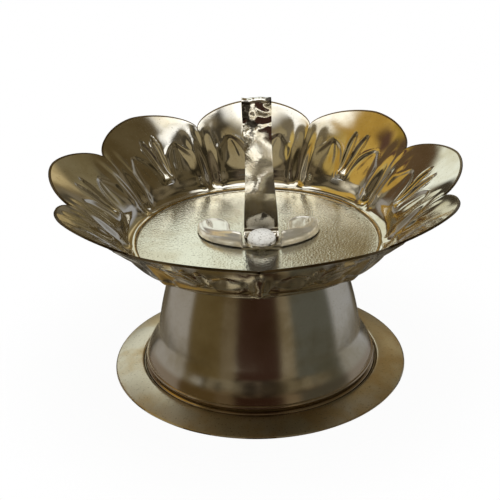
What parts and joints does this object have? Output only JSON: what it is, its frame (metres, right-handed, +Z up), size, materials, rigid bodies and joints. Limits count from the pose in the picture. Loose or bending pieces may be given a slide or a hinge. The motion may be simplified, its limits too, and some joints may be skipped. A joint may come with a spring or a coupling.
{
  "type": "pedestal diya lamp",
  "caption": "Small oil lamp: an open petal-edged bowl with a wick strap and scrolled foot, raised on a hollow pedestal over a saucer base.",
  "frame": {"origin": "centre of the base plate's flat underside, on the table", "axes": "+Z up along the pedestal's axis, -Y towards the front, where the wick lies, +X to the right"},
  "size_m": [0.0986, 0.0977, 0.0681],
  "materials": {
    "bright_plate": "bright pale nickel plating, mirror polished",
    "satin_plate": "pale nickel plating, worn and less polished",
    "solder": "plated soft solder, uneven"
  },
  "bodies": {
    "root": {"base_plate": "satin_plate", "base_solder_ring": "solder", "pedestal": "bright_plate", "bowl_solder_ring": "solder", "petal_bowl": "bright_plate", "scroll_foot": "bright_plate", "wick_strap": "bright_plate", "dome_rivet": "bright_plate", "rivet_washer": "satin_plate"}
  },
  "joints": []
}
